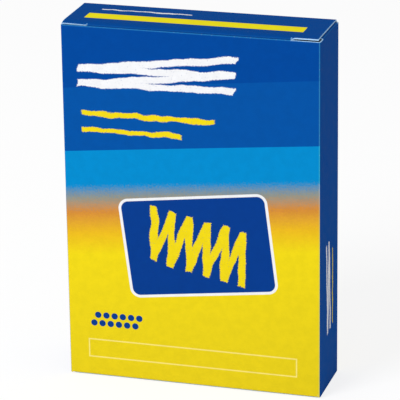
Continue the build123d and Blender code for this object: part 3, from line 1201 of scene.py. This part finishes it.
def add_carton():
    """The board pieces, each carried on its body or left where it is made."""
    add_piece(make_wall(), "carton", "printed_board", "front_panel", "back_panel", "left_side_panel",
              "right_side_panel", "glue_flap")
    # The inner bottom flap's ground is the fade's darker foot yellow, a painted shade.
    inner_print = bled_print("inner_bottom_print", SHADED_FOOT_YELLOW, BOTTOM_BLEED, bottom_flaps["inner"])
    for kind, left, material in (("outer", root_left, bottom_print()), ("inner", -root_right, inner_print)):
        piece = make_bottom_flap(f"bottom_{kind}_board", bottom_flaps[kind], left, material)
        add_piece(piece, "carton", "printed_board", f"bottom_{kind}_flap")
    for side, sign in (("left", -1), ("right", 1)):
        piece = make_dust_flap(f"bottom_{side}_dust_board", bottom_flaps[side])
        add_piece(piece, "carton", "printed_board", f"bottom_{side}_dust_flap")
        piece = make_dust_flap(f"{side}_dust_board", dust_flaps[side])
        start = (sign * dust_axis.x, 0, dust_axis.z - FLAP_CREASE_RADIUS)
        end = (sign * (dust_axis.x - FLAP_CREASE_RADIUS), 0, dust_axis.z)
        add_bent(piece, "carton", f"{side}_dust_flap", start, end, f"{side}_dust_flap")
    start = (0, lid_axis.y, lid_axis.z - FLAP_CREASE_RADIUS)
    end = (0, lid_axis.y - FLAP_CREASE_RADIUS, lid_axis.z)
    add_bent(make_lid_crease(), "carton", "lid", start, end)
    start = (0, tuck_axis.y, front_high.z)
    end = (0, tuck_axis.y, shoulder_z)
    add_bent(make_lid(), "lid", "tuck_flap", start, end, "lid_panel", "lid_tuck_flap")


def add_crayons():
    """Twelve crayons, each a wax stick and a sleeve, turned by random quarters."""
    stick = wax_mesh()
    sleeve = sleeve_mesh()
    turns = random.Random(TURN_SEED)
    for row in ("front", "back"):
        for number in range(1, ROW_COUNT + 1):
            body = f"{row}_crayon_{number}"
            low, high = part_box(f"{body}_wax")
            turn = turns.randrange(4) * pi / 2
            for kind, mesh, slot in (("wax", stick, "wax"), ("sleeve", sleeve, "sleeve_paper")):
                piece = add_object(f"{body}_{kind}_piece", mesh)
                piece.location = ((low.x + high.x) / 2, (low.y + high.y) / 2, low.z)
                piece.rotation_euler.z = turn
                add_piece(piece, body, slot, f"{body}_{kind}")


# Stage, light and camera, with the places of the light and the camera in metres
FLOOR_REACH = 3000.0
FLOOR_GAP = 0.02
FLOOR_WHITE = 0.72
FLOOR_GLOW = 1.1
KEY_PLACE = (-0.55, -0.95, 0.85)
KEY_AIM = (0.0, 0.0, 0.06)
KEY_SIZE = 0.6
KEY_WATTS = 10.0
WORLD_LEVEL = 0.52
CAMERA_AZIMUTH = 16.673
CAMERA_ELEVATION = 19.469
CAMERA_ROLL = -0.7799
CAMERA_PLACE = (-0.000582, 0.000053, 0.89552)
CAMERA_LENS = 250.25
CAMERA_SENSOR = 36.0
CAMERA_CLIP = 0.01


def floor_material():
    """White floor: bright where it is seen or mirrored, with a soft shadow."""
    material, tree, shader = new_material("floor")
    feed(shader, {"Base Color": FLOOR_COLOUR, "Roughness": 0.9, "Specular IOR Level": 0.0})
    seen = add_node(tree, "LightPath", output="Is Camera Ray")
    for ray in ("Is Glossy Ray", "Is Transmission Ray"):
        seen = seen.most(add_node(tree, "LightPath", output=ray))
    glow = add_node(tree, "Emission", {"Strength": FLOOR_GLOW})
    plain = Field(tree, shader.outputs[0])
    mix = add_node(tree, "MixShader", enumerate((seen * FLOOR_WHITE, plain, glow)))
    feed(tree.nodes["Material Output"], {"Surface": mix})
    return material


def add_stage():
    """A plain white floor."""
    around = ((-1, -1), (1, -1), (1, 1), (-1, 1))
    corners = [Vector((x * FLOOR_REACH, y * FLOOR_REACH, -FLOOR_GAP)) for x, y in around]
    mesh = new_mesh("floor", corners, [(0, 1, 2, 3)], [floor_material()], BOARD_SHARP_ANGLE)
    floor = add_object("floor", mesh)


def add_lights():
    """A square soft key lamp from the front left and above, and an even grey world."""
    lamp = bpy.data.lights.new("key", "AREA")
    lamp.size = KEY_SIZE
    lamp.energy = KEY_WATTS
    light = add_object("key", lamp)
    light.location = KEY_PLACE
    light.rotation_euler = (Vector(KEY_AIM) - Vector(KEY_PLACE)).to_track_quat("-Z", "Y").to_euler()
    world = bpy.data.worlds.new("studio")
    world.use_nodes = True
    feed(world.node_tree.nodes["Background"], {"Color": (1.0, 1.0, 1.0, 1.0), "Strength": WORLD_LEVEL})
    bpy.context.scene.world = world


def add_camera():
    """The camera, turned, and then moved right, up and back from the carton's middle."""
    turn = Matrix.Identity(3)
    for axis, degrees in (("Z", CAMERA_AZIMUTH), ("X", 90 - CAMERA_ELEVATION), ("Z", CAMERA_ROLL)):
        turn = turn @ Matrix.Rotation(radians(degrees), 3, axis)
    middle = Vector((0.0, 0.0, lid_high.z / 2 * MM))
    place = middle + turn @ Vector(CAMERA_PLACE)
    data = bpy.data.cameras.new("camera")
    data.lens = CAMERA_LENS
    data.sensor_width = CAMERA_SENSOR
    data.sensor_fit = "HORIZONTAL"
    data.clip_start = CAMERA_CLIP
    camera = add_object("camera", data)
    camera.matrix_world = Matrix.Translation(place) @ turn.to_4x4()
    bpy.context.scene.camera = camera


add_carton()
add_crayons()
add_stage()
add_lights()
add_camera()
bpy.context.scene.view_settings.view_transform = "Standard"
